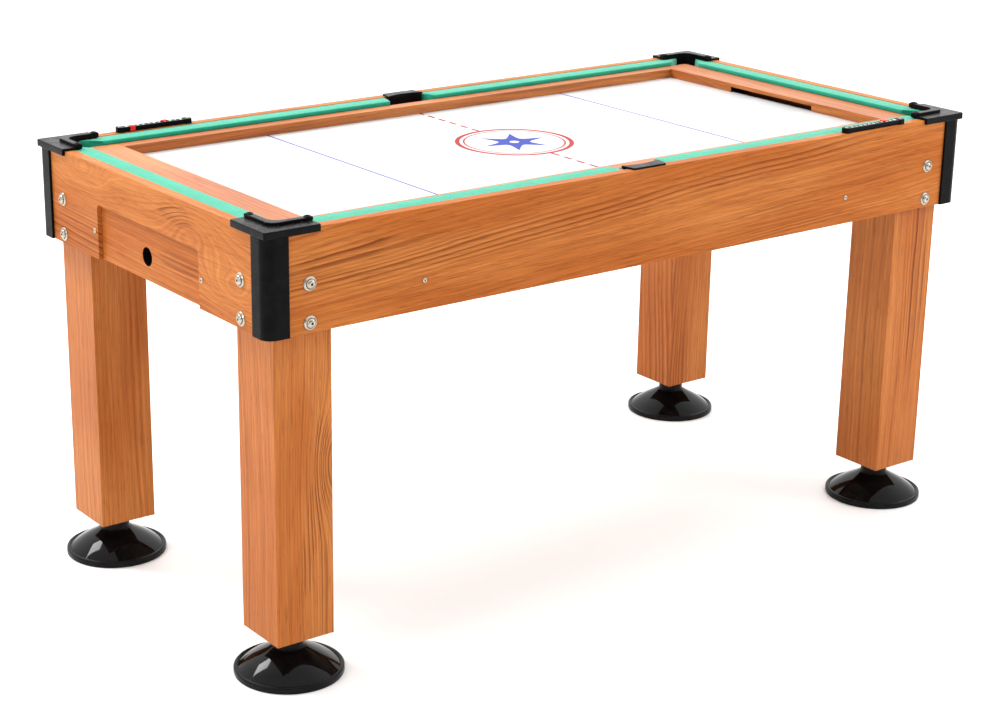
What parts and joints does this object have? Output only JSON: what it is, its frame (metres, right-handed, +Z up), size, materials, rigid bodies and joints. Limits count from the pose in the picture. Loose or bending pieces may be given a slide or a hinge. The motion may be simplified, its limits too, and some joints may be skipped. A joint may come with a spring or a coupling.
{
  "type": "air hockey table",
  "caption": "Pool-frame game table on four box legs, with cloth cushions, pockets and a lift-out white air hockey field with goal slots.",
  "frame": {"origin": "on the floor, under the middle of the table", "axes": "+X along the length, towards the plain end; +Y across the width, towards the back long side; +Z up"},
  "size_m": [1.5514, 0.7874, 0.7798],
  "materials": {
    "laminate": "satin cherry-toned wood laminate",
    "board": "raw particle board",
    "cloth": "green billiard cloth over rubber",
    "moulding": "finely textured black moulded plastic",
    "foot": "polished black plastic",
    "field": "smooth white laminate with printed rink lines",
    "bolt": "nickel-plated steel",
    "slider": "red moulded plastic"
  },
  "bodies": {
    "table": {"apron_front": "laminate", "apron_right": "laminate", "apron_back": "laminate", "apron_left": "laminate", "end_panel": "laminate", "leg_front_left": "laminate", "leg_front_right": "laminate", "leg_back_right": "laminate", "leg_back_left": "laminate", "cushion_front_a": "cloth", "cushion_front_b": "cloth", "cushion_back_a": "cloth", "cushion_back_b": "cloth", "cushion_left": "cloth", "cushion_right": "cloth", "side_pocket_front": "moulding", "side_pocket_back": "moulding", "corner_post_front_left": "moulding", "corner_post_front_right": "moulding", "corner_post_back_right": "moulding", "corner_post_back_left": "moulding", "corner_cap_front_left": "moulding", "corner_cap_front_right": "moulding", "corner_cap_back_right": "moulding", "corner_cap_back_left": "moulding", "score_bar_front": "moulding", "score_bar_back": "moulding", "fan_frame": "moulding", "hole_cup": "moulding", "leg_bolts_front_left": "bolt", "leg_bolts_front_right": "bolt", "leg_bolts_back_right": "bolt", "leg_bolts_back_left": "bolt", "fan_guard": "bolt", "bed_board": "board", "cross_beam_left": "board", "cross_beam_right": "board", "bed_cleat_front_a": "board", "bed_cleat_front_b": "board", "bed_cleat_back_a": "board", "bed_cleat_back_b": "board"},
    "hockey_field": {"field_border_front": "laminate", "field_border_right": "laminate", "field_border_back": "laminate", "field_border_left": "laminate", "play_field": "field", "field_batten_front": "board", "field_batten_back": "board"},
    "stem_front_left": {"foot_stem_front_left": "bolt"},
    "foot_front_left": {"foot_disc_front_left": "foot"},
    "stem_front_right": {"foot_stem_front_right": "bolt"},
    "foot_front_right": {"foot_disc_front_right": "foot"},
    "stem_back_right": {"foot_stem_back_right": "bolt"},
    "foot_back_right": {"foot_disc_back_right": "foot"},
    "stem_back_left": {"foot_stem_back_left": "bolt"},
    "foot_back_left": {"foot_disc_back_left": "foot"},
    "slider_back_inner": {"score_slider_back_inner": "slider"},
    "slider_back_outer": {"score_slider_back_outer": "slider"},
    "slider_front_inner": {"score_slider_front_inner": "slider"},
    "impeller": {"fan_impeller": "moulding"}
  },
  "joints": [
    {"name": "field_lift", "type": "slide", "parent": "table", "child": "hockey_field", "axis": [0, 0, 1], "range_m": [0, 0.12]},
    {"name": "lift_front_left", "type": "slide", "parent": "table", "child": "stem_front_left", "axis": [0, 0, 1], "range_m": [-0.01225, 0]},
    {"name": "turn_front_left", "type": "hinge", "parent": "stem_front_left", "child": "foot_front_left", "pos_m": [-0.6842, -0.3022, 0], "axis": [0, 0, 1], "range_deg": [-2520, 0]},
    {"name": "lift_front_right", "type": "slide", "parent": "table", "child": "stem_front_right", "axis": [0, 0, 1], "range_m": [-0.01225, 0]},
    {"name": "turn_front_right", "type": "hinge", "parent": "stem_front_right", "child": "foot_front_right", "pos_m": [0.6842, -0.3022, 0], "axis": [0, 0, 1], "range_deg": [-2520, 0]},
    {"name": "lift_back_right", "type": "slide", "parent": "table", "child": "stem_back_right", "axis": [0, 0, 1], "range_m": [-0.01225, 0]},
    {"name": "turn_back_right", "type": "hinge", "parent": "stem_back_right", "child": "foot_back_right", "pos_m": [0.6842, 0.3022, 0], "axis": [0, 0, 1], "range_deg": [-2520, 0]},
    {"name": "lift_back_left", "type": "slide", "parent": "table", "child": "stem_back_left", "axis": [0, 0, 1], "range_m": [-0.01225, 0]},
    {"name": "turn_back_left", "type": "hinge", "parent": "stem_back_left", "child": "foot_back_left", "pos_m": [-0.6842, 0.3022, 0], "axis": [0, 0, 1], "range_deg": [-2520, 0]},
    {"name": "score_back_inner", "type": "slide", "parent": "table", "child": "slider_back_inner", "axis": [1, 0, 0], "range_m": [-0.009, 0.103]},
    {"name": "score_back_outer", "type": "slide", "parent": "table", "child": "slider_back_outer", "axis": [1, 0, 0], "range_m": [-0.079, 0.033]},
    {"name": "score_front_inner", "type": "slide", "parent": "table", "child": "slider_front_inner", "axis": [1, 0, 0], "range_m": [-0.087, 0.025]},
    {"name": "fan_spin", "type": "hinge", "parent": "table", "child": "impeller", "pos_m": [0, 0, 0.69], "axis": [0, 0, 1], "continuous": true}
  ],
  "couplings": [
    {"joint": "lift_front_left", "follows": "turn_front_left", "m_per_rad": 0.0002785},
    {"joint": "lift_front_right", "follows": "turn_front_right", "m_per_rad": 0.0002785},
    {"joint": "lift_back_right", "follows": "turn_back_right", "m_per_rad": 0.0002785},
    {"joint": "lift_back_left", "follows": "turn_back_left", "m_per_rad": 0.0002785}
  ]
}
